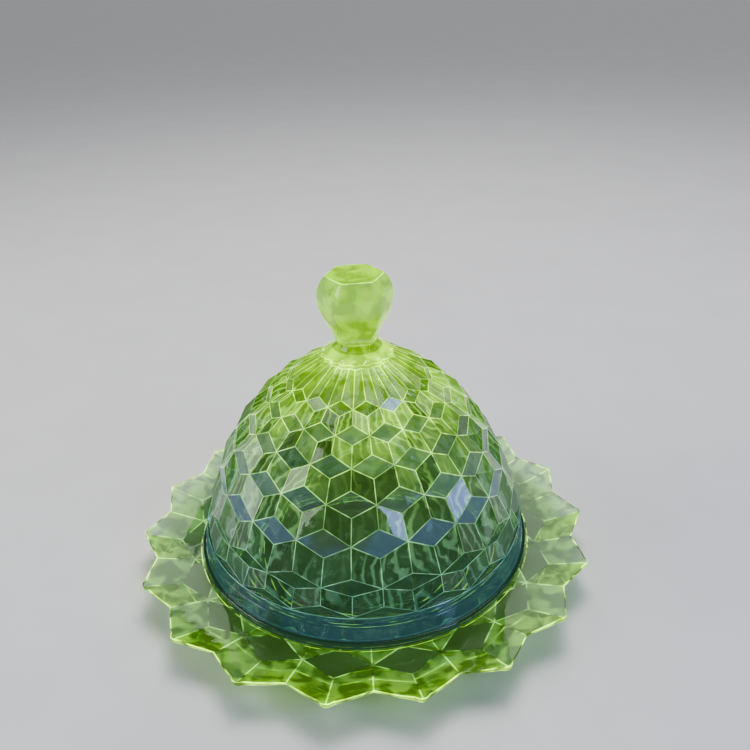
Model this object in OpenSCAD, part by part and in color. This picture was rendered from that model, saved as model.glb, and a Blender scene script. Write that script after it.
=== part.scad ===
// Covered butter dish in pressed glass: a zigzag-edged plate, and a domed cover
// with a knob that lifts off it. Both are patterned with rows of lozenges like stacked cubes.

/* [Pattern] */
// Rim points around the plate, and cubes in each row around the cover
points = 18; // [18:6:30]

/* [Plate] */
// Distance from the plate's middle to the end of a rim point
plate_r = 92; // [86:1:112]
// How far the notches between the rim points cut in
notch_depth = 6.4; // [4:0.2:8]
// Radius that rounds the end of each rim point
point_round = 3; // [1.5:0.5:4]
// Height of the rim points above the table
rim_h = 13.6; // [11.3:0.1:17]
// Thickness of the glass at the end of a rim point
rim_edge = 1.9; // [1.2:0.1:3]
// Width of the ring of slanting facets under the rim
facet_w = 14.4; // [11:0.2:16]
// Width of the ring of flat lozenges inside those facets
lozenge_w = 13.7; // [10:0.1:16]
// Height of the lozenges' outer corners above the table
lozenge_h = 5.2; // [4:0.1:6.4]
// Fall of a lozenge from its outer corner to its inner one
lozenge_fall = 1.1; // [0:0.1:2]
// Narrowest width of the foot's ring
foot_w = 10.8; // [6:0.1:20]
// Depth of the hollow inside the foot
foot_hollow = 1.6; // [0.8:0.1:2.5]
// Height of the cover's seat above the table
seat_h = 10.4; // [8.7:0.1:11.2]
// Depth of the step that keeps the cover in place
seat_step = 0.8; // [0.5:0.1:1.5]
// Width of the flat seat between the well and the inside of the cover's rim
well_margin = 6.1; // [3:0.1:20]
// Depth of the well below the seat
well_depth = 1.6; // [0.8:0.1:2.5]

/* [Cover] */
// Outer radius of the cover's rim
cover_r = 67; // [55.5:0.5:80.5]
// Gap around the rim inside the plate's step
seat_gap = 0.8; // [0.4:0.1:1.5]
// Height from the rim to the collar under the knob
dome_h = 82.6; // [68:0.1:100]
// Thickness of the glass at the rim
wall = 5.8; // [4.8:0.1:7]
// Thickness of the glass at the top of the dome
top_wall = 7; // [6:0.5:12]
// Height of the plain band at the rim
band_h = 12.6; // [9:0.1:14]
// How far the band's lower bead stands out
bead = 1.1; // [0.6:0.1:1.6]
// How far the lozenges' lower corners are set back from the dome
set_back = 2.2; // [0.8:0.1:2.6]
// Turn of the cover on its seat, in degrees
cover_turn = -5.5; // [-10:0.1:10]

/* [Knob] */
// Height from the collar's foot to the top of the knob
knob_h = 31.6; // [24:0.1:38]
// Distance from the axis to a corner at the knob's widest
knob_r = 14.6; // [12:0.1:18]
// Distance from the axis to a corner of the flat top
knob_top_r = 10.9; // [8:0.1:13]
// Distance from the axis to a corner of the neck
neck_r = 8.2; // [6:0.1:10]
// Outer radius of the collar under the knob
collar_r = 13; // [11:0.1:15]

/* [Hidden] */
glass = "#b4d86a";
columns = 2 * points;
half = 360 / columns;
round_fn = 96;
overlap = 1;

// A point at a radius, height and turn
function at(r, z, a) = [r * cos(a), r * sin(a), z];
// Index that wraps round the ring of columns
function wrap(i) = (i + columns) % columns;

// ---- Plate ----

notch_r = plate_r - notch_depth;
seat_r = cover_r + seat_gap;
well_r = cover_r - bead - wall - well_margin;
dish_rise = rim_h - seat_h - seat_step;
facet_slope = (rim_h - rim_edge - lozenge_h) / facet_w;
outer_corner_r = plate_r - facet_w;
inner_corner_r = outer_corner_r - lozenge_w;
side_corner_r = notch_r - facet_w;
inner_corner_h = lozenge_h - lozenge_fall;
// A lozenge is flat, so its side corners lie on the slope between the other two
side_corner_h = lozenge_h
    - lozenge_fall * (outer_corner_r - side_corner_r * cos(half)) / lozenge_w;
foot_hollow_r = inner_corner_r - inner_corner_h / facet_slope - foot_w;
// The point at each rim point's sharp end, before it is rounded
point_angle = atan2(notch_r * sin(half), plate_r - notch_r * cos(half));
sharp_r = plate_r + point_round * (1 / sin(point_angle) - 1);
rim_reach = 4;

// Height of the plate's upper face at a radius outside the seat
function dish_z(r) = seat_h + seat_step
    + dish_rise * pow(max(0, r - seat_r) / (plate_r - seat_r), 2);

// Underside at one column: top, facet's outer end, corner, inner corner, foot
function underside_column(i) =
    let (tip = i % 2 == 1, a = -90 + i * half)
    let (rim_r = (tip ? plate_r : notch_r) + rim_reach)
    let (corner_r = tip ? outer_corner_r : side_corner_r)
    let (corner_h = tip ? lozenge_h : side_corner_h)
    let (inner_r = tip ? inner_corner_r : side_corner_r)
    let (inner_h = tip ? inner_corner_h : side_corner_h)
    [
        at(rim_r, rim_h + overlap, a),
        at(rim_r, corner_h + facet_slope * (facet_w + rim_reach), a),
        at(corner_r, corner_h, a),
        at(inner_r, inner_h, a),
        at(inner_r - inner_h / facet_slope, 0, a)
    ];

// Index of level k of column i in the underside's points
function under(i, k) = wrap(i) * 5 + k;

// Faces between column i, which has a notch, and its neighbour j
function underside_faces(i, j, hub_top, hub_foot) = [
    [hub_top, under(i, 0), under(j, 0)],
    [under(i, 0), under(i, 1), under(j, 1), under(j, 0)],
    [under(i, 1), under(i, 2), under(j, 2), under(j, 1)],
    [under(i, 2), under(j, 3), under(j, 2)],
    [under(i, 2), under(i, 4), under(j, 4), under(j, 3)],
    [under(i, 4), hub_foot, under(j, 4)]
];
function flipped(faces) = [for (f = faces) [for (k = [len(f) - 1:-1:0]) f[k]]];

// Solid with the slanting facets, the lozenges and the zigzag foot below
module plate_underside() {
    points_list = [for (i = [0:columns - 1]) each underside_column(i)];
    hubs = [[0, 0, rim_h + overlap], [0, 0, 0]];
    hub_top = columns * 5;
    hub_foot = hub_top + 1;
    faces = [
        for (i = [0:2:columns - 1])
            each concat(
                underside_faces(i, i - 1, hub_top, hub_foot),
                flipped(underside_faces(i, i + 1, hub_top, hub_foot))
            )
    ];
    polyhedron(concat(points_list, hubs), faces);
}

// Zigzag outline of the rim, with the end of each point rounded
module rim_outline() {
    offset(r = point_round, $fn = 40)
        offset(delta = -point_round)
            polygon([
                for (i = [0:columns - 1])
                    let (r = i % 2 == 1 ? sharp_r : notch_r, a = -90 + i * half)
                        [r * cos(a), r * sin(a)]
            ]);
}

// Everything above the plate's upper face
module plate_top_cut() {
    dish_steps = 10;
    dish_end = plate_r + rim_reach;
    rotate_extrude($fn = round_fn)
        polygon(concat(
            [
                [0, seat_h - well_depth],
                [well_r - 2 * well_depth, seat_h - well_depth],
                [well_r, seat_h],
                [seat_r, seat_h],
                [seat_r, seat_h + seat_step]
            ],
            [
                for (k = [1:dish_steps])
                    let (r = seat_r + (dish_end - seat_r) * k / dish_steps)
                        [r, dish_z(r)]
            ],
            [[dish_end, rim_h + 2 * overlap + dish_rise], [0, rim_h + 2 * overlap + dish_rise]]
        ));
}

module plate() {
    color(glass)
        difference() {
            intersection() {
                plate_underside();
                linear_extrude(rim_h + overlap) rim_outline();
            }
            plate_top_cut();
            translate([0, 0, -overlap])
                cylinder(r = foot_hollow_r, h = foot_hollow + overlap, $fn = round_fn);
        }
}

// ---- Cover, with heights measured up from its rim ----

// The dome's section is part of an ellipse whose centre is below the rim
body_r = cover_r - bead;
centre_drop = 0.183 * dome_h;
ellipse_h = 1.179 * dome_h;
ellipse_r = body_r / sqrt(1 - pow(centre_drop / ellipse_h, 2));
inner_ellipse_r = ellipse_r - wall;
inner_ellipse_h = ellipse_h - top_wall;
cube_rows = 6;

function dome_r(z) = ellipse_r * sqrt(1 - pow((z + centre_drop) / ellipse_h, 2));
// Height of row k of cubes: the rows get closer together towards the top
function row_z(k) = k == 0
    ? band_h
    : dome_h * (0.278 + 0.1752 * (k - 1) - 0.0129 * (k - 1) * (k - 2));
// Turn of column i: even rows have their side corners on even columns
function column_a(i) = -90 + cover_turn + i * half;
// Share of the gap between rows that lies below a row, down to its lozenges' corners
corner_share = 0.39;
function row_gap(k) = row_z(max(k, 1)) - row_z(max(k, 1) - 1);
function corner_z(k) = row_z(k) - corner_share * row_gap(k);
// Side corner, lower corner and upper corner of the lozenges
function side_at(k) = [dome_r(row_z(k)), row_z(k)];
function mid_at(k) = [dome_r(row_z(k)) * cos(half), row_z(k)];
function front_at(k) = [dome_r(corner_z(k)) - set_back, corner_z(k)];
function back_at(k) = 2 * mid_at(k) - front_at(k);

// Points of column i from the band up to the last row of cubes
function dome_column(i) = [
    for (k = [0:cube_rows])
        each (i + k) % 2 == 0
            ? [side_at(k), side_at(k)]
            : [k == 0 ? mid_at(k) : front_at(k), back_at(k)]
];
// Rings of the collar, as radius and height
flute_depth = 0.5;
collar_rings = [[collar_r, 0], [collar_r, 1.3], [collar_r - 1.4, 2.4], [neck_r + 1.4, 3.9]];
// Rings of the knob, from the neck to the flat top, as corner distance and height
neck_z = 0.18 * knob_h;
widest_z = 0.73 * knob_h;
knob_rings = concat(
    [
        for (t = [0:0.125:1])
            [
                neck_r + (knob_r - neck_r) * pow((1 - cos(180 * t)) / 2, 0.75),
                neck_z + (widest_z - neck_z) * t
            ]
    ],
    [
        for (t = [0.2:0.2:1])
            [knob_r - (knob_r - knob_top_r) * pow(t, 2.4), widest_z + (knob_h - widest_z) * t]
    ]
);
corner_soft = 0.965;
// Share of a six-sided section's corner distance at column i
function six_sided(i) =
    let (a = (wrap(i + 2) * half) % 60)
    min(corner_soft, cos(30) / cos(a - 30));

function cover_column(i) = [
    for (p = concat([[side_at(0)[0] - 1, band_h - 3]], dome_column(i))) at(p[0], p[1], column_a(i)),
    for (p = collar_rings)
        at(p[0] + (p[1] == 0 ? (i % 2 == 0 ? flute_depth : -flute_depth) : 0), dome_h + p[1], column_a(i)),
    for (p = knob_rings) at(p[0] * six_sided(i), dome_h + p[1], column_a(i))
];
levels = 1 + 2 * (cube_rows + 1) + len(collar_rings) + len(knob_rings);

// Index of level k of column i in the cover's points
function cover(i, k) = wrap(i) * levels + k;

// Faces of row k at column i, where a lozenge's lower corner stands
function cube_faces(i, k) =
    let (left = cover(i - 1, 1 + 2 * k), right = cover(i + 1, 1 + 2 * k))
    let (front = cover(i, 1 + 2 * k), back = cover(i, 2 + 2 * k))
    let (below = cover(i, 2 * k - 1))
    let (back_left = cover(i - 1, 2 * k), back_right = cover(i + 1, 2 * k))
    concat(
        k == 0
            ? [[left, back, front], [front, back, right]]
            : [[left, back, right], [left, right, front]],
        k == 0 ? [] : [
            [left, front, below], [left, below, back_left],
            [front, right, below], [right, back_right, below]
        ]
    );

// Faces of one column's strip above the last row, and of its base
function strip_faces(i, hub_base, hub_top) =
    let (first = 1 + 2 * (cube_rows + 1), last = levels - 1)
    let (low = cover(i, i % 2 == 0 ? first - 2 : first - 1))
    let (low_next = cover(i + 1, i % 2 == 0 ? first - 1 : first - 2))
    concat(
        [
            [hub_base, cover(i, 0), cover(i + 1, 0)],
            [cover(i, 0), cover(i, 1), cover(i + 1, 1), cover(i + 1, 0)],
            [low, cover(i, first), cover(i + 1, first)],
            [low, cover(i + 1, first), low_next],
            [hub_top, cover(i + 1, last), cover(i, last)]
        ],
        [
            for (k = [first:last - 1])
                [cover(i, k), cover(i, k + 1), cover(i + 1, k + 1), cover(i + 1, k)]
        ]
    );

// Solid dome and knob, from inside the band up
module dome_and_knob() {
    points_list = [for (i = [0:columns - 1]) each cover_column(i)];
    hubs = [[0, 0, points_list[0].z], [0, 0, dome_h + knob_h]];
    hub_base = columns * levels;
    hub_top = hub_base + 1;
    faces = concat(
        [
            for (k = [0:cube_rows], i = [0:columns - 1])
                if ((i + k) % 2 == 1) each cube_faces(i, k)
        ],
        [for (i = [0:columns - 1]) each strip_faces(i, hub_base, hub_top)]
    );
    polyhedron(concat(points_list, hubs), faces);
}

// Plain band at the rim: a rounded bead and two shallow steps
module band() {
    bead_h = 3.2;
    bead_round = 0.6;
    step_z = 8.6;
    step_in = 0.5;
    band_r = cover_r - bead + 0.2;
    rotate_extrude($fn = round_fn)
        polygon([
            [0, 0],
            [cover_r - bead_round, 0],
            [cover_r, bead_round],
            [cover_r, bead_h - bead_round],
            [cover_r - bead_round, bead_h],
            [band_r, bead_h],
            [dome_r(step_z) + 0.4, step_z - 0.3],
            [dome_r(step_z) + 0.4 - step_in, step_z],
            [dome_r(band_h) + 0.3, band_h - 0.4],
            [dome_r(band_h) - 0.2, band_h],
            [0, band_h]
        ]);
}

// Hollow of the dome, a smaller ellipse with the same centre
module hollow() {
    steps = 24;
    first_a = asin(centre_drop / inner_ellipse_h);
    rotate_extrude($fn = round_fn)
        polygon(concat(
            [[0, -overlap], [inner_ellipse_r * cos(first_a), -overlap]],
            [
                for (k = [0:steps])
                    let (a = first_a + (90 - first_a) * k / steps)
                        [
                            k == steps ? 0 : inner_ellipse_r * cos(a),
                            inner_ellipse_h * sin(a) - centre_drop
                        ]
            ]
        ));
}

module cover_piece() {
    difference() {
        union() {
            dome_and_knob();
            band();
        }
        hollow();
    }
}

module cover() {
    color(glass)
        translate([0, 0, seat_h]) cover_piece();
}

plate();
cover();
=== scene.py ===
"""Covered butter dish in pressed uranium glass: its plate, its domed cover and the stage it stands on."""

import math
import random

import bmesh
import bpy
from mathutils import Matrix, Vector


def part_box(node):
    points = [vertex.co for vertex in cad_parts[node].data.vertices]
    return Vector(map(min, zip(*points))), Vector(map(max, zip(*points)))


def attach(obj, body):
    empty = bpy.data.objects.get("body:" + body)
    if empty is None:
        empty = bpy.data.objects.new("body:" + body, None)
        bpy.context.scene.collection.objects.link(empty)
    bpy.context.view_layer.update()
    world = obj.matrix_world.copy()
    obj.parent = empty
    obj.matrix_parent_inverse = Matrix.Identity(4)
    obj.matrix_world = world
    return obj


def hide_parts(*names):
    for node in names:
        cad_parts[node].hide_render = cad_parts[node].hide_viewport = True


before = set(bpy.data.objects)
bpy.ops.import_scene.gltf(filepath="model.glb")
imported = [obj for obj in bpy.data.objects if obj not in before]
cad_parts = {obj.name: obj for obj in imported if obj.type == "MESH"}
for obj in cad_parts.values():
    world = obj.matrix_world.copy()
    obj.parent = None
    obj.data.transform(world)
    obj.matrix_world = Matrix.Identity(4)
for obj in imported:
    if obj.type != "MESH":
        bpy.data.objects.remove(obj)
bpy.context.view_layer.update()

bl_info = {
    "name": "Pressed glass butter dish",
    "version": (1, 0, 0),
    "blender": (4, 5, 0),
    "location": "View3D > Sidebar > Butter Dish",
    "description": "Builds a covered butter dish in pressed uranium glass",
    "category": "Object",
}

MM = 0.001
PLATE_LOW, PLATE_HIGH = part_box("plate")
COVER_LOW, COVER_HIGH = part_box("cover")

# The painted glow values that each face carries: facet glow, stripes and a violet lamp reflection, all painted
PAINTED_GLOW_LAYERS = ("painted_facet_light", "painted_stripe_light", "painted_lamp_reflection")

# How strongly the parts of the glass glow: a painted glow on each face that stands in for fluorescence and for light
# caught in the facets
RIM_PAINTED_GLOW, FACET_PAINTED_GLOW, PLATE_LOZENGE_PAINTED_GLOW = 0.6, 1.0, 0.9
DOME_PAINTED_GLOW, CROWN_PAINTED_GLOW, FLUTE_PAINTED_GLOW, FLUTE_PAINTED_RISE, FLUTE_TOP_PAINTED_GLOW = 0.02, 0.4, 0.6, 0.3, 1.2
COLLAR_PAINTED_GLOW, KNOB_PAINTED_GLOW, KNOB_TOP_PAINTED_GLOW = 2.0, 1.0, 1.3

# The random share of the painted glow that a facet of the dome gets, a painted highlight for the light each facet
# catches
PAINTED_CATCH_SEED, LEAST_PAINTED_CATCH, MOST_PAINTED_CATCH = 7, 0.1, 2.0

# Painted violet lamp reflection on the band, in the rows of lozenges that get most of it, and in the others
BAND_PAINTED_VIOLET, ROW_PAINTED_VIOLET, OTHER_PAINTED_VIOLET = 0.10, {2: 0.16, 3: 0.07}, 0.02

# The camera: its place in metres, its turns in degrees and its lens in millimetres
CAMERA_PLACE = (-2.62 * MM, -258.8 * MM, 223.5 * MM)
CAMERA_YAW, CAMERA_PITCH, CAMERA_ROLL = 1.979, 28.42, 1.653
CAMERA_LENS, CAMERA_SENSOR = 37.15, 36.0


def length(name, description, millimetres):
    """A size property, in metres, with its default given in millimetres."""
    return bpy.props.FloatProperty(
        name=name,
        description=description,
        default=millimetres * MM,
        min=0,
        unit="LENGTH",
        subtype="DISTANCE",
        precision=5,
    )


def tint(name, description, colour):
    """A colour property."""
    return bpy.props.FloatVectorProperty(
        name=name, description=description, default=colour, size=3, min=0, max=1, subtype="COLOR"
    )


def amount(name, description, default, least=0, **more):
    """A number property that has a least value."""
    return bpy.props.FloatProperty(name=name, description=description, default=default, min=least, **more)


class DishPlateSizes(bpy.types.PropertyGroup):
    points: bpy.props.IntProperty(
        name="Points", description="Rim points, and lozenges in each row of the cover", default=18, min=6, max=36
    )
    reach: length("Reach", "Distance from the middle to a rim point", PLATE_HIGH.x / MM)
    notch: length("Notch depth", "How far the notches cut in between the points", 6.4)
    point_round: length("Point radius", "Radius that rounds a rim point", 3)
    rim_h: length("Rim height", "Height of the rim above the table", PLATE_HIGH.z / MM)
    rim_edge: length("Rim thickness", "Thickness of the glass at a rim point", 1.9)
    facet_w: length("Facet width", "Width of the ring of slanting facets", 14.4)
    lozenge_w: length("Lozenge width", "Width of the ring of flat lozenges", 13.7)
    lozenge_h: length("Lozenge height", "Height of a lozenge's outer corner", 5.2)
    lozenge_fall: length("Lozenge fall", "Fall of a lozenge from its outer to its inner corner", 1.1)
    foot_w: length("Foot width", "Narrowest width of the foot's ring", 10.8)
    foot_hollow: length("Foot hollow", "Depth of the hollow inside the foot", 1.6)
    seat_step: length("Seat step", "Depth of the step around the cover's seat", 0.8)
    seat_gap: length("Seat gap", "Gap around the cover's rim inside the step", 0.8)
    well_margin: length("Well margin", "Width of the seat inside the cover's rim", 6.1)
    well_depth: length("Well depth", "Depth of the well below the seat", 1.6)
    edge: length("Edge rounding", "Width of the fire-polished edges", 0.55)


class DishCoverSizes(bpy.types.PropertyGroup):
    reach: length("Rim radius", "Outer radius of the cover's rim", COVER_HIGH.x / MM)
    dome_h: length("Dome height", "Height from the rim to the collar", 82.6)
    wall: length("Wall", "Thickness of the glass at the rim", 5.8)
    top_wall: length("Top wall", "Thickness of the glass at the top", 7)
    band_h: length("Band height", "Height of the plain band at the rim", 12.6)
    bead: length("Bead", "How far the band's lower bead stands out", 1.1)
    set_back: length("Set back", "How far the lozenges' lower corners are set back", 2.2)
    turn: bpy.props.FloatProperty(
        name="Turn", description="Turn of the cover on its seat", default=math.radians(-5.5), subtype="ANGLE"
    )
    flute: length("Flute depth", "Depth of the flutes below the collar", 0.5)
    collar_r: length("Collar radius", "Outer radius of the collar", 13)
    knob_r: length("Knob radius", "Distance from the axis to a corner at the knob's widest", 14.6)
    knob_top_r: length("Knob top radius", "Distance from the axis to a corner of the flat top", 10.9)
    neck_r: length("Neck radius", "Distance from the axis to a corner of the neck", 8.2)
    edge: length("Edge rounding", "Width of the fire-polished edges", 0.9)


class DishGlassLook(bpy.types.PropertyGroup):
    skin: tint("Skin tint", "Tint that light takes where it passes the glass's skin", (0.34, 0.42, 0.42))
    depth: tint("Depth tint", "Colour that light keeps on its way through thick glass", (0.50, 0.60, 0.46))
    density: amount("Density", "Strength of the depth tint", 100)
    # The glow settings are painted light: a painted glow that stands in for the glass's fluorescence, painted cool
    # and violet lamp reflections, painted stripes and painted highlights along the edges
    glow: tint("Glow", "Colour of the glass's own fluorescence", (0.58, 1.0, 0.09))
    painted_cool_glow: tint("Cool glow", "Colour of the glow low down on the cover", (0.10, 0.32, 0.60))
    painted_stripe_glow: amount("Stripe glow", "Glow of the fine stripes in the side facets", 0.3)
    painted_violet: tint("Violet light", "Colour of the lamp's light caught in the lower lozenges", (0.05, 0.09, 0.55))
    painted_facet_glow: amount("Facet glow", "Extra glow of the bright facets", 0.35)
    painted_glow_strength: amount("Glow strength", "Glow inside the glass", 5.0)
    painted_skin_glow: amount("Skin glow", "Glow at the glass's skin", 0.03)
    painted_edge_glow: amount("Edge glow", "Extra glow along the rounded edges", 0.7)
    ior: amount("IOR", "Refractive index of the glass", 1.52, least=1)


class DishStageLook(bpy.types.PropertyGroup):
    floor: tint("Floor", "Colour of the pale floor", (0.62, 0.62, 0.61))
    sky: tint("Surroundings", "Colour of the studio around the dish", (0.06, 0.065, 0.08))
    room_strength: amount("Room light", "Strength of the wide even light", 1.25)
    key_power: amount("Key light", "Power of the soft overhead light", 4, unit="POWER")
    fill_power: amount("Fill light", "Power of the soft side light", 2.5, unit="POWER")
    strip_power: amount("Front light", "Power of the cool front light", 1.8, unit="POWER")


class Skin:
    """Collects the corners, the faces and the softened edges of one closed piece of glass."""

    def __init__(self, lift=0.0):
        self.lift = lift
        self.points = []
        self.faces = []
        self.lights = []
        self.soft = set()

    # A face's light, stripes and violet values, also given through strip and cap, are its painted glow, painted
    # stripes and painted violet lamp reflection
    def face(self, corners, light=0.0, stripes=0.0, painted_violet=0.0):
        self.faces.append(corners)
        self.lights.append((light, stripes, painted_violet))

    def point(self, r, z, turn):
        self.points.append(Vector((r * math.cos(turn), r * math.sin(turn), z + self.lift)))
        return len(self.points) - 1

    def between(self, a, b, share):
        self.points.append(self.points[a].lerp(self.points[b], share))
        return len(self.points) - 1

    def ring(self, r, z, turns):
        return [self.point(r, z, t) for t in turns]

    def strip(self, low, high, light=0.0, painted_violet=0.0):
        """Joins two rings of as many corners."""
        n = len(low)
        for i in range(n):
            j = (i + 1) % n
            self.face((low[i], low[j], high[j], high[i]), light, painted_violet=painted_violet)

    def fans(self, few, many):
        """Joins a ring of few corners to one of many, a fan at each corner."""
        n, every = len(few), len(many) // len(few)
        for i in range(n):
            a, b = few[i], few[(i + 1) % n]
            row = [many[(i * every + k) % len(many)] for k in range(every + 1)]
            middle = every // 2
            for k in range(every):
                self.face((a if k < middle else b, row[k + 1], row[k]))
            self.face((a, b, row[middle]))

    def cap(self, ring, z, light=0.0):
        """Closes a ring over a point on the axis."""
        pole = self.point(0, z, 0)
        for i in range(len(ring)):
            self.face((ring[i], ring[(i + 1) % len(ring)], pole), light)

    def soften(self, *path):
        """Marks the edges along a path of corners to be rounded."""
        self.soft.update(frozenset(pair) for pair in zip(path, path[1:]))

    def soften_ring(self, ring):
        self.soften(*ring, ring[0])

    def build(self, name, edge):
        """The piece as an object, its marked edges rounded as fire polishing leaves them."""
        mesh = bpy.data.meshes.new(name)
        mesh.from_pydata([tuple(p) for p in self.points], [], self.faces)
        work = bmesh.new()
        work.from_mesh(mesh)
        # Each face keeps its painted glow values in layers
        layers = [work.faces.layers.float.new(layer) for layer in PAINTED_GLOW_LAYERS]
        for face, lights in zip(work.faces, self.lights):
            for layer, light in zip(layers, lights):
                face[layer] = light
        bmesh.ops.recalc_face_normals(work, faces=work.faces)
        if any(not e.is_manifold for e in work.edges):
            raise RuntimeError(f"{name} isn't a closed skin")
        # Corners in the middle of the rounded edges carry a painted highlight along the edges
        painted_edge_layer = work.verts.layers.float.new("painted_edge_light")
        marked = [e for e in work.edges if frozenset(v.index for v in e.verts) in self.soft]
        rounded = bmesh.ops.bevel(
            work,
            geom=marked,
            offset=edge,
            offset_type="OFFSET",
            segments=3,
            profile=0.5,
            affect="EDGES",
            clamp_overlap=True,
        )
        strips = set(rounded["faces"])
        for v in {v for f in strips for v in f.verts}:
            if all(f in strips for f in v.link_faces):
                v[painted_edge_layer] = 1.0
        for f in work.faces:
            f.smooth = True
        work.to_mesh(mesh)
        work.free()
        piece = bpy.data.objects.new(name, mesh)
        bpy.context.scene.collection.objects.link(piece)
        flats = piece.modifiers.new("Flat facets", "WEIGHTED_NORMAL")
        flats.weight = 90
        flats.keep_sharp = False
        return piece


def plate_skin(p, c):
    """The plate: a zigzag rim, facets and lozenges below, a seat and a well above."""
    skin = Skin()
    half = math.pi / p.points
    notch_r = p.reach - p.notch
    side_r, tip_r = notch_r - p.facet_w, p.reach - p.facet_w
    inner_r, inner_h = tip_r - p.lozenge_w, p.lozenge_h - p.lozenge_fall
    side_h = p.lozenge_h - p.lozenge_fall * (tip_r - side_r * math.cos(half)) / p.lozenge_w
    slope = (p.rim_h - p.rim_edge - p.lozenge_h) / p.facet_w
    seat_h = COVER_LOW.z
    seat_r = c.reach + p.seat_gap
    well_r = c.reach - c.bead - c.wall - p.well_margin
    hollow_r = inner_r - inner_h / slope - p.foot_w
    rise = p.rim_h - seat_h - p.seat_step
    tip_angle = math.atan2(notch_r * math.sin(half), p.reach - notch_r * math.cos(half))
    sharp_r = p.reach + p.point_round * (1 / math.sin(tip_angle) - 1)
    centre_r = p.reach - p.point_round

    def rim_r(f):
        """Reach of the rim at share f of the way from a notch to a point."""
        a = half * f
        straight = (
            notch_r * sharp_r * math.sin(half) / (notch_r * math.sin(a) + sharp_r * math.sin(half - a))
            if 0 < f < 1
            else (notch_r if f == 0 else sharp_r)
        )
        off = half - a
        inside = p.point_round**2 - (centre_r * math.sin(off)) ** 2
        if inside <= 0:
            return straight
        return min(straight, centre_r * math.cos(off) + math.sqrt(inside))

    def dish_z(r):
        return seat_h + p.seat_step + rise * max(0.0, (r - seat_r) / (p.reach - seat_r)) ** 2

    notch_corner = Vector((side_r, 0, side_h))
    tip_corner = Vector((tip_r * math.cos(half), tip_r * math.sin(half), p.lozenge_h))
    tip_end = Vector((p.reach * math.cos(half), p.reach * math.sin(half), p.rim_h - p.rim_edge))
    normal = (tip_corner - notch_corner).cross(tip_end - notch_corner)

    def under_z(r, a):
        """Height of a slanting facet at a radius and a turn from its notch."""
        x, y = r * math.cos(a), r * math.sin(a)
        return notch_corner.z - (normal.x * (x - notch_corner.x) + normal.y * (y - notch_corner.y)) / normal.z

    # Columns of corners: shares of the way from a notch to a point, closer together near the point
    steps = [0.0, 0.3, 0.6, 0.84, 0.9, 0.94, 0.975]
    columns = []
    for tooth in range(p.points):
        start = -math.pi / 2 + tooth * 2 * half
        columns += [(start + f * half, f, f * half) for f in steps]
        columns += [(start + 2 * half - f * half, f, f * half) for f in [1.0, *steps[:0:-1]]]
    turns = [t for t, f, a in columns]
    reaches = [rim_r(f) for t, f, a in columns]
    every = len(steps)

    well_floor = skin.ring(well_r - 2 * p.well_depth, seat_h - p.well_depth, turns)
    well_edge = skin.ring(well_r, seat_h, turns)
    seat_edge = skin.ring(seat_r, seat_h, turns)
    step_edge = skin.ring(seat_r, seat_h + p.seat_step, turns)
    inner_floor = skin.ring(well_r * 0.5, seat_h - p.well_depth, turns)
    skin.cap(inner_floor, seat_h - p.well_depth)
    skin.strip(inner_floor, well_floor)
    skin.strip(well_floor, well_edge)
    skin.strip(well_edge, seat_edge)
    skin.strip(seat_edge, step_edge)
    for ring in (well_floor, well_edge, step_edge):
        skin.soften_ring(ring)
    last = step_edge
    rings = 7
    for k in range(1, rings + 1):
        row = []
        for turn, reach in zip(turns, reaches):
            r = seat_r + (reach - seat_r) * k / rings
            row.append(skin.point(r, dish_z(r), turn))
        skin.strip(last, row)
        last = row
    low_rim = [skin.point(r, under_z(r, a), t) for (t, f, a), r in zip(columns, reaches)]
    # The band out to the rim's edge gets a painted glow
    skin.strip(last, low_rim, RIM_PAINTED_GLOW)
    skin.soften_ring(last)
    skin.soften_ring(low_rim)

    outer, inner, foot = [], [], []
    for i in range(2 * p.points):
        turn = -math.pi / 2 + i * half
        if i % 2:
            outer.append(skin.point(tip_r, p.lozenge_h, turn))
            inner.append(skin.point(inner_r, inner_h, turn))
            foot.append(skin.point(inner_r - inner_h / slope, 0, turn))
        else:
            outer.append(skin.point(side_r, side_h, turn))
            inner.append(outer[-1])
            foot.append(skin.point(side_r - side_h / slope, 0, turn))
    n = len(outer)
    for i in range(n):
        j = (i + 1) % n
        edge = [low_rim[(i * every + k) % len(low_rim)] for k in range(every + 1)]
        # The slanting facets and the lozenges get a painted glow
        skin.face([outer[j], outer[i]] + edge, FACET_PAINTED_GLOW)
        skin.face((inner[i], inner[j], foot[j], foot[i]), PLATE_LOZENGE_PAINTED_GLOW)
        skin.soften(outer[i], low_rim[i * every])
        skin.soften(outer[i], outer[j])
        skin.soften(inner[i], inner[j])
        skin.soften(inner[i], foot[i])
        if i % 2:
            skin.face((outer[i], outer[j], inner[i], outer[i - 1]))
    skin.soften_ring(foot)
    hollow_draft = 0.3 * MM
    hollow = skin.ring(hollow_r, 0, turns)
    roof = skin.ring(hollow_r - hollow_draft, p.foot_hollow, turns)
    skin.fans(foot, hollow)
    skin.strip(hollow, roof)
    skin.soften_ring(hollow)
    skin.cap(roof, p.foot_hollow)
    return skin


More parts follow.
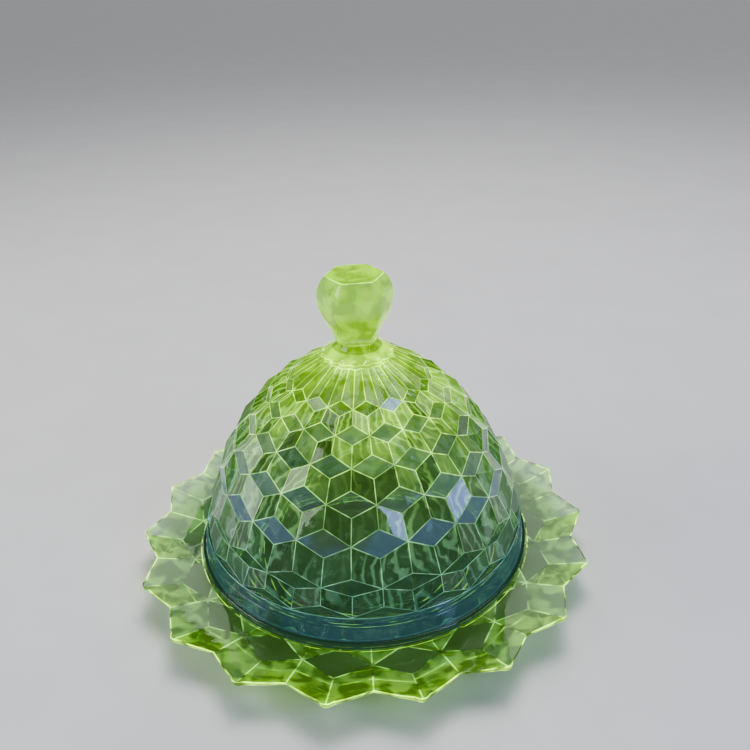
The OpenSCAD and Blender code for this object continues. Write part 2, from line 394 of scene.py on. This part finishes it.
def cover_skin(p, c):
    """The cover: a hollow dome of lozenges on a plain band, flutes, a collar and a six-sided knob."""
    skin = Skin(lift=COVER_LOW.z)
    knob_h = COVER_HIGH.z - COVER_LOW.z - c.dome_h
    columns = 2 * p.points
    half = 2 * math.pi / columns
    fine = 4  # corners to a column in the finer rings
    base = -math.pi / 2 + c.turn
    turns = [base + half * i / fine for i in range(columns * fine)]
    rows = 6

    # The dome is part of an ellipsoid whose middle lies a little below the rim
    drop = 0.183 * c.dome_h
    high = 1.179 * c.dome_h
    wide = (c.reach - c.bead) / math.sqrt(1 - (drop / high) ** 2)

    # Shares of the dome's height: the second row, the step between rows, and how the steps shrink upwards
    second_row, row_step, row_shrink = 0.278, 0.1752, 0.0129
    corner_fall = 0.39  # of a row's step, from a lozenge's side corners down to its lower corner

    def dome_r(z):
        return wide * math.sqrt(1 - ((z + drop) / high) ** 2)

    def row_z(k):
        if k == 0:
            return c.band_h
        return c.dome_h * (second_row + row_step * (k - 1) - row_shrink * (k - 1) * (k - 2))

    def corner_z(k):
        return row_z(k) - corner_fall * (row_z(max(k, 1)) - row_z(max(k, 1) - 1))

    # Hollow
    in_wide, in_high = wide - c.wall, high - c.top_wall
    first = math.asin(drop / in_high)
    hollow = []
    steps = 30
    for k in range(steps):
        a = first + (math.pi / 2 - first) * k / steps
        hollow.append(skin.ring(in_wide * math.cos(a), in_high * math.sin(a) - drop, turns))
    for low, high_ring in zip(hollow, hollow[1:]):
        skin.strip(low, high_ring)
    skin.cap(hollow[-1], in_high - drop)
    skin.soften_ring(hollow[0])

    # A rounded bead at the rim, then the band's two shallow steps
    bead_h, round_r, step_z = 3.2 * MM, 0.9 * MM, 8.6 * MM
    round_steps = 4
    bead = [(c.reach - round_r, 0)]
    for k in range(1, round_steps + 1):
        a = math.radians(-90 + 90 * k / round_steps)
        bead.append((c.reach - round_r + round_r * math.cos(a), round_r + round_r * math.sin(a)))
    for k in range(round_steps + 1):
        a = math.radians(90 * k / round_steps)
        bead.append((c.reach - round_r + round_r * math.cos(a), bead_h - round_r + round_r * math.sin(a)))
    bead.append((c.reach - c.bead + 0.1 * MM, bead_h + 0.15 * MM))
    band = [
        (dome_r(step_z) + 0.45 * MM, step_z - 0.35 * MM),
        (dome_r(step_z) + 0.3 * MM, step_z - 0.1 * MM),
        (dome_r(step_z) - 0.1 * MM, step_z + 0.1 * MM),
        (dome_r(c.band_h) + 0.45 * MM, c.band_h - 0.45 * MM),
        (dome_r(c.band_h) + 0.2 * MM, c.band_h - 0.12 * MM),
    ]
    last = hollow[0]
    # The band gets a painted violet lamp reflection
    for profile, painted_violet in ((bead, 0.0), (band, BAND_PAINTED_VIOLET)):
        for r, z in profile:
            row = skin.ring(r, z, turns)
            skin.strip(last, row, painted_violet=painted_violet)
            last = row

    # Corners of the lozenges, row by row
    painted_catch = random.Random(PAINTED_CATCH_SEED)
    side, front, back = {}, {}, {}
    for k in range(rows + 1):
        side_r, z, z_low = dome_r(row_z(k)), row_z(k), corner_z(k)
        middle_r, low_r = side_r * math.cos(half), dome_r(corner_z(k)) - c.set_back
        for i in range(columns):
            turn = base + half * i
            if (i + k) % 2 == 0:
                side[k, i] = skin.point(side_r, z, turn)
            else:
                front[k, i] = skin.point(middle_r, z, turn) if k == 0 else skin.point(low_r, z_low, turn)
                back[k, i] = skin.point(2 * middle_r - low_r, 2 * z - z_low, turn)
    foot_ring = [side[0, i] if i % 2 == 0 else front[0, i] for i in range(columns)]
    skin.fans(foot_ring, last)
    skin.soften_ring(last)
    crown = []
    for i in range(columns):
        a = side.get((rows, i), back.get((rows, i)))
        j = (i + 1) % columns
        b = side.get((rows, j), back.get((rows, j)))
        crown += [a] + [skin.between(a, b, k / fine) for k in range(1, fine)]
    # Lozenges and side faces get a random share of a painted glow, more in higher rows, the lower rows a painted
    # violet lamp reflection, and the side faces painted stripes
    for (k, i), low in front.items():
        left_painted_catch, right_painted_catch, top_painted_catch = (painted_catch.uniform(LEAST_PAINTED_CATCH, MOST_PAINTED_CATCH) for _ in range(3))
        left, right = side[k, (i - 1) % columns], side[k, (i + 1) % columns]
        if k == rows:
            at = i * fine
            edge = [crown[(at + s) % len(crown)] for s in range(fine, -fine - 1, -1)]
            skin.face([left, low] + edge[:-1], CROWN_PAINTED_GLOW)
            skin.soften(*edge)
        else:
            painted_violet = ROW_PAINTED_VIOLET.get(k, OTHER_PAINTED_VIOLET)
            skin.face((left, low, right, back[k, i]), DOME_PAINTED_GLOW * k * k * top_painted_catch, painted_violet=painted_violet)
            skin.soften(left, back[k, i], right)
        if k:
            under = side[k - 1, i]
            left_back, right_back = back[k - 1, (i - 1) % columns], back[k - 1, (i + 1) % columns]
            skin.face((left, left_back, under, low), DOME_PAINTED_GLOW * k * (k + 1) * left_painted_catch, stripes=1.0)
            skin.face((low, under, right_back, right), DOME_PAINTED_GLOW * k * (k + 1) * right_painted_catch, stripes=1.0)
            skin.soften(left, low, right)
            skin.soften(low, under)
            skin.soften(left, left_back)

    # Flutes up to a scalloped collar
    def scallop(j):
        return c.flute * math.cos(math.pi * j / fine)

    collar = [skin.point(c.collar_r + scallop(j), c.dome_h, t) for j, t in enumerate(turns)]
    last = crown
    lengths = 6
    bulge = 0.25 * MM
    ridges = [[crown[j]] for j in range(len(turns))]
    for step in range(1, lengths):
        row = []
        for j, turn in enumerate(turns):
            share = step / lengths
            spot = skin.points[crown[j]].lerp(skin.points[collar[j]], share)
            groove = c.flute * math.sin(math.pi * (j % fine) / fine) * min(1.0, 3 * share, 3 * (1 - share))
            skin.points.append(spot + Vector((0, 0, bulge * 4 * share * (1 - share) - groove)))
            row.append(len(skin.points) - 1)
            ridges[j].append(row[-1])
        # The flutes get a painted glow, stronger towards the collar
        skin.strip(last, row, FLUTE_PAINTED_GLOW + FLUTE_PAINTED_RISE * step / lengths)
        last = row
    skin.strip(last, collar, FLUTE_TOP_PAINTED_GLOW)
    for j in range(0, len(turns), fine):
        skin.soften(*ridges[j], collar[j])
    upper = [skin.point(c.collar_r + scallop(j), c.dome_h + 1.3 * MM, t) for j, t in enumerate(turns)]
    shoulder_r, shoulder_z = c.collar_r - 1.4 * MM, c.dome_h + 2.4 * MM
    shoulder = [skin.point(shoulder_r + 0.4 * scallop(j), shoulder_z, t) for j, t in enumerate(turns)]
    throat = skin.ring(c.neck_r + 1.2 * MM, c.dome_h + 3.9 * MM, turns)
    # The collar gets a painted glow
    for low, top in ((collar, upper), (upper, shoulder), (shoulder, throat)):
        skin.strip(low, top, COLLAR_PAINTED_GLOW)
    skin.soften_ring(collar)
    skin.soften_ring(upper)

    # Knob with six softened sides and a flat top
    corner_r, sharpness, regain = 0.972, 28, 1.01  # the regain makes up for what the softening takes away

    def six_sided(j):
        """Reach of the knob's outline next to the reach of a sharp corner."""
        a = math.degrees(half) * (j / fine + 2) % 60
        side_share = math.cos(math.radians(30)) / math.cos(math.radians(a - 30))
        return (side_share**-sharpness + corner_r**-sharpness) ** (-1 / sharpness)

    neck_z, widest_z = 0.18 * knob_h, 0.73 * knob_h
    below, above = 14, 8
    rings = []
    for k in range(below + 1):
        t = k / below
        swing = ((1 - math.cos(math.pi * t)) / 2) ** 0.75
        rings.append((c.neck_r + (c.knob_r - c.neck_r) * swing, neck_z + (widest_z - neck_z) * t))
    for k in range(1, above + 1):
        t = k / above
        rings.append((c.knob_r - (c.knob_r - c.knob_top_r) * t**2.4, widest_z + (knob_h - widest_z) * t))
    last = throat
    # The knob and its flat top get a painted glow
    for r, z in rings:
        row = [skin.point(r * six_sided(j) * regain, c.dome_h + z, t) for j, t in enumerate(turns)]
        skin.strip(last, row, KNOB_PAINTED_GLOW)
        last = row
    skin.soften_ring(last)
    skin.cap(last, c.dome_h + knob_h, KNOB_TOP_PAINTED_GLOW)
    return skin


class Wire:
    """A shader socket that can be used in a Python expression."""

    def __init__(self, nodes, socket):
        self.nodes, self.socket = nodes, socket

    def output(self, name):
        """Another output of the same node."""
        return Wire(self.nodes, self.socket.node.outputs[name])

    def maths(self, operation, *values):
        return self.nodes.add("ShaderNodeMath", {"operation": operation}, *values)

    def __add__(self, other):
        return self.maths("ADD", self, other)

    def __sub__(self, other):
        return self.maths("SUBTRACT", self, other)

    def __rsub__(self, other):
        return self.maths("SUBTRACT", other, self)

    def __mul__(self, other):
        return self.maths("MULTIPLY", self, other)

    __radd__ = __add__
    __rmul__ = __mul__


class Nodes:
    """Adds nodes to a material's tree."""

    def __init__(self, tree):
        self.tree = tree
        tree.nodes.clear()

    def add(self, kind, settings=None, *values, out=0, **named):
        """A node's output: its settings are set first, then its sockets by place or by name."""
        node = self.tree.nodes.new(kind)
        for key, value in (settings or {}).items():
            setattr(node, key, value)
        for place, value in enumerate(values):
            self.fill(node.inputs[place], value)
        for key, value in named.items():
            label = key.replace("_", " ")
            self.fill(next(i for i in node.inputs if i.name == label and i.enabled), value)
        return Wire(self, node.outputs[out]) if len(node.outputs) else None

    def fill(self, socket, value):
        """Links a wire to a socket, or sets the socket's own value."""
        if isinstance(value, Wire):
            self.tree.links.new(value.socket, socket)
        elif isinstance(value, tuple) and len(value) == 3 and socket.type == "RGBA":
            socket.default_value = (*value, 1)
        else:
            socket.default_value = value


def uranium_glass(look, name, low, high, least, mottling):
    """Clear yellow-green glass with a painted glow inside it and on its skin that stands in for fluorescence, cooler
    and fainter where it is low, with painted highlights along the edges, painted stripes and a painted violet lamp
    reflection.
    """
    material = bpy.data.materials.new(name)
    material.use_nodes = True
    n = Nodes(material.node_tree)
    place = n.add("ShaderNodeTexCoord", None, out="Object")
    height = n.add("ShaderNodeSeparateXYZ", None, place, out="Z")
    # These read the painted highlight along the edges and the painted facet glow, painted stripes and painted violet
    # lamp reflection of the faces
    line, facet, band, lamp = (
        n.add("ShaderNodeAttribute", {"attribute_name": layer}, out="Fac") for layer in ("painted_edge_light", *PAINTED_GLOW_LAYERS)
    )

    # Unevenness of pressed glass: short ripples on longer swells
    ripple = n.add(
        "ShaderNodeTexNoise", None, place, Scale=170.0, Detail=1.0, Roughness=0.4, Distortion=0.6, out="Fac"
    )
    swell = n.add("ShaderNodeTexNoise", None, place, Scale=42.0, Detail=1.0, out="Fac")
    normal = n.add("ShaderNodeBump", None, Strength=0.3, Distance=0.0006, Height=ripple * 0.15 + swell)
    rough = n.add("ShaderNodeMapRange", None, ripple, 0.3, 0.7, 0.008, 0.035)

    # Share of the full painted glow, more towards the top by height, and mottled by ripple
    share = n.add("ShaderNodeMapRange", None, height, low, high, least, 1.0)
    mottle = n.add("ShaderNodeMapRange", None, ripple, 0.4, 0.6, 1 - mottling, 1 + mottling)

    # Painted glow stripes, fine and upright around the axis, broken up by the swells
    stripes_round, swell_bend, ripple_bend = 72, 34, 9
    turn = n.add("ShaderNodeMath", {"operation": "ARCTAN2"}, height.output("Y"), height.output("X"))
    bent = turn * stripes_round + swell * swell_bend + ripple * ripple_bend
    wave = n.add("ShaderNodeMath", {"operation": "SINE"}, bent)
    patch = n.add("ShaderNodeMapRange", None, swell, 0.42, 0.56, 0.15, 1.0)
    stripe = n.add("ShaderNodeMapRange", {"interpolation_type": "SMOOTHSTEP"}, wave, 0.1, 1.0, 0.0, 1.0) * patch

    # The painted glow: facets, painted highlights along the rounded edges and painted stripes, cooler low down, then
    # the painted violet lamp reflection low on the cover
    facets = facet * mottle * share * look.painted_facet_glow
    edges = line * (0.25 + share) * (mottle * 1.5 - 0.5) * look.painted_edge_glow
    stripes = stripe * band * (0.2 + share) * look.painted_stripe_glow
    strength = look.painted_skin_glow + facets + edges + stripes
    colour = n.add("ShaderNodeMix", {"data_type": "RGBA"}, share, A=tuple(look.painted_cool_glow), B=tuple(look.glow), out=2)
    glow = n.add("ShaderNodeVectorMath", {"operation": "SCALE"}, colour, Scale=strength)
    # Patches of a painted violet lamp reflection
    painted_reflection_patches = lamp * n.add("ShaderNodeMapRange", None, swell, 0.34, 0.46, 0.15, 1.0)
    painted_violet = n.add("ShaderNodeVectorMath", {"operation": "SCALE"}, tuple(look.painted_violet), Scale=painted_reflection_patches)
    glow = n.add("ShaderNodeVectorMath", {"operation": "ADD"}, glow, painted_violet)
    surface = n.add(
        "ShaderNodeBsdfPrincipled",
        None,
        Base_Color=tuple(look.skin),
        Roughness=rough,
        IOR=look.ior,
        Specular_IOR_Level=0.8,
        Transmission_Weight=1.0,
        Emission_Color=glow,
        Emission_Strength=1.0,
        Normal=normal,
    )
    # Inside: a real depth tint and a painted glow that stands in for fluorescence
    tinted = n.add("ShaderNodeVolumeAbsorption", None, Color=tuple(look.depth), Density=look.density)
    painted_inner_glow = n.add("ShaderNodeEmission", None, Color=tuple(look.glow), Strength=look.painted_glow_strength)
    inside = n.add("ShaderNodeAddShader", None, tinted, painted_inner_glow)
    n.add("ShaderNodeOutputMaterial", None, Surface=surface, Volume=inside)
    return material


def pale_floor(look):
    """Matt paper-like floor with the faintest mottling."""
    material = bpy.data.materials.new("pale_floor")
    material.use_nodes = True
    n = Nodes(material.node_tree)
    place = n.add("ShaderNodeTexCoord", None, out="Object")
    grain = n.add("ShaderNodeTexNoise", None, place, Scale=25.0, Detail=3.0, out="Fac")
    shade = n.add("ShaderNodeMapRange", None, grain, 0.3, 0.7, 0.98, 1.02)
    colour = n.add("ShaderNodeVectorMath", {"operation": "SCALE"}, tuple(look.floor), Scale=shade)
    surface = n.add("ShaderNodeBsdfPrincipled", None, Base_Color=colour, Roughness=0.75)
    n.add("ShaderNodeOutputMaterial", None, Surface=surface)
    return material


def dress(piece, node, material):
    """Puts the glass material, with its painted glow, on a piece and ties it to its CAD body."""
    piece.data.materials.append(material)
    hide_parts(node)
    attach(piece, node)


class DISH_OT_plate(bpy.types.Operator):
    """Adds the plate with its zigzag rim, facets, seat and well"""

    bl_idname = "dish.add_plate"
    bl_label = "Add Plate"

    def execute(self, context):
        scene = context.scene
        skin = plate_skin(scene.dish_plate, scene.dish_cover)
        piece = skin.build("plate_glass", scene.dish_plate.edge)
        # The painted glow is faintest low on the plate and full at its top
        least_painted_glow, mottling = 0.55, 0.75
        glass = uranium_glass(scene.dish_glass, "plate_glass", PLATE_LOW.z, PLATE_HIGH.z, least_painted_glow, mottling)
        dress(piece, "plate", glass)
        return {"FINISHED"}


class DISH_OT_cover(bpy.types.Operator):
    """Adds the domed cover with its lozenges, flutes, collar and knob"""

    bl_idname = "dish.add_cover"
    bl_label = "Add Cover"

    def execute(self, context):
        scene = context.scene
        skin = cover_skin(scene.dish_plate, scene.dish_cover)
        piece = skin.build("cover_glass", scene.dish_cover.edge)
        # The painted glow is faintest at the cover's rim and full near the knob
        full_painted_glow_z = COVER_HIGH.z - 0.035
        least_painted_glow, mottling = 0.1, 0.3
        glass = uranium_glass(scene.dish_glass, "cover_glass", COVER_LOW.z, full_painted_glow_z, least_painted_glow, mottling)
        dress(piece, "cover", glass)
        return {"FINISHED"}


def hang(lamp, place, turn):
    """Puts a light in the scene."""
    holder = bpy.data.objects.new(lamp.name, lamp)
    holder.location = place
    holder.rotation_euler = turn
    bpy.context.scene.collection.objects.link(holder)


def soft_light(name, place, width, height, power, colour):
    """A soft light panel that faces the middle of the dish."""
    lamp = bpy.data.lights.new(name, "AREA")
    lamp.shape = "RECTANGLE"
    lamp.size, lamp.size_y = width, height
    lamp.energy = power
    lamp.color = colour
    middle = Vector((0, 0, 0.06))
    hang(lamp, place, (middle - Vector(place)).to_track_quat("-Z", "Y").to_euler())


class DISH_OT_stage(bpy.types.Operator):
    """Adds the pale floor, the soft studio light and the camera"""

    bl_idname = "dish.set_stage"
    bl_label = "Set Stage"

    def execute(self, context):
        scene = context.scene
        look = scene.dish_stage
        mesh = bpy.data.meshes.new("floor")
        w = 12.0  # half of the floor's width
        mesh.from_pydata([(-w, -w, 0), (w, -w, 0), (w, w, 0), (-w, w, 0)], [], [(0, 1, 2, 3)])
        floor = bpy.data.objects.new("floor", mesh)
        scene.collection.objects.link(floor)
        floor.data.materials.append(pale_floor(look))

        world = bpy.data.worlds.new("studio")
        world.use_nodes = True
        scene.world = world
        n = Nodes(world.node_tree)
        sky = n.add("ShaderNodeBackground", None, Color=tuple(look.sky), Strength=1.0)
        n.add("ShaderNodeOutputWorld", None, Surface=sky)

        soft_light("overhead", (0.1, 0.35, 0.9), 0.45, 0.45, look.key_power, (1.0, 0.99, 0.96))
        sun = bpy.data.lights.new("room", "SUN")
        sun.energy = look.room_strength
        sun.angle = math.radians(60)
        hang(sun, (0, 0, 0), (math.radians(-25), math.radians(10), 0))
        soft_light("side", (-0.8, -0.1, 0.45), 0.5, 0.5, look.fill_power, (1.0, 1.0, 1.0))
        soft_light("front", (0.62, -0.5, 0.6), 0.13, 0.45, look.strip_power, (0.36, 0.42, 1.0))

        yaw, pitch, roll = (math.radians(a) for a in (CAMERA_YAW, CAMERA_PITCH, CAMERA_ROLL))
        ahead = Vector((math.sin(yaw) * math.cos(pitch), math.cos(yaw) * math.cos(pitch), -math.sin(pitch)))
        right = Vector((math.cos(yaw), -math.sin(yaw), 0))
        up = right.cross(ahead)
        x = right * math.cos(roll) - up * math.sin(roll)
        y = right * math.sin(roll) + up * math.cos(roll)
        lens = bpy.data.cameras.new("camera")
        lens.sensor_fit = "HORIZONTAL"
        lens.sensor_width = CAMERA_SENSOR
        lens.lens = CAMERA_LENS
        lens.clip_start = 0.01
        camera = bpy.data.objects.new("camera", lens)
        camera.location = CAMERA_PLACE
        camera.rotation_euler = Matrix((x, y, -ahead)).transposed().to_euler()
        scene.collection.objects.link(camera)
        scene.camera = camera
        scene.view_settings.look = "AgX - High Contrast"
        scene.cycles.transmission_bounces = 24
        scene.cycles.max_bounces = 28
        return {"FINISHED"}


class DISH_PT_sidebar(bpy.types.Panel):
    """Lists the pieces of the dish and their sizes"""

    bl_idname = "DISH_PT_sidebar"
    bl_label = "Butter Dish"
    bl_space_type = "VIEW_3D"
    bl_region_type = "UI"
    bl_category = "Butter Dish"

    def draw(self, context):
        layout = self.layout
        for owner in ("dish_plate", "dish_cover", "dish_glass", "dish_stage"):
            box = layout.box()
            group = getattr(context.scene, owner)
            for key in group.bl_rna.properties.keys():
                if key not in ("rna_type", "name"):
                    box.prop(group, key)
        for operator in (DISH_OT_plate, DISH_OT_cover, DISH_OT_stage):
            layout.operator(operator.bl_idname)


GROUPS = {
    "dish_plate": DishPlateSizes,
    "dish_cover": DishCoverSizes,
    "dish_glass": DishGlassLook,
    "dish_stage": DishStageLook,
}
CLASSES = [*GROUPS.values(), DISH_OT_plate, DISH_OT_cover, DISH_OT_stage, DISH_PT_sidebar]


def register():
    for cls in CLASSES:
        bpy.utils.register_class(cls)
    for owner, group in GROUPS.items():
        setattr(bpy.types.Scene, owner, bpy.props.PointerProperty(type=group))


def unregister():
    for owner in GROUPS:
        delattr(bpy.types.Scene, owner)
    for cls in reversed(CLASSES):
        bpy.utils.unregister_class(cls)


def main():
    register()
    bpy.ops.dish.add_plate()
    bpy.ops.dish.add_cover()
    bpy.ops.dish.set_stage()


if __name__ == "__main__":
    main()
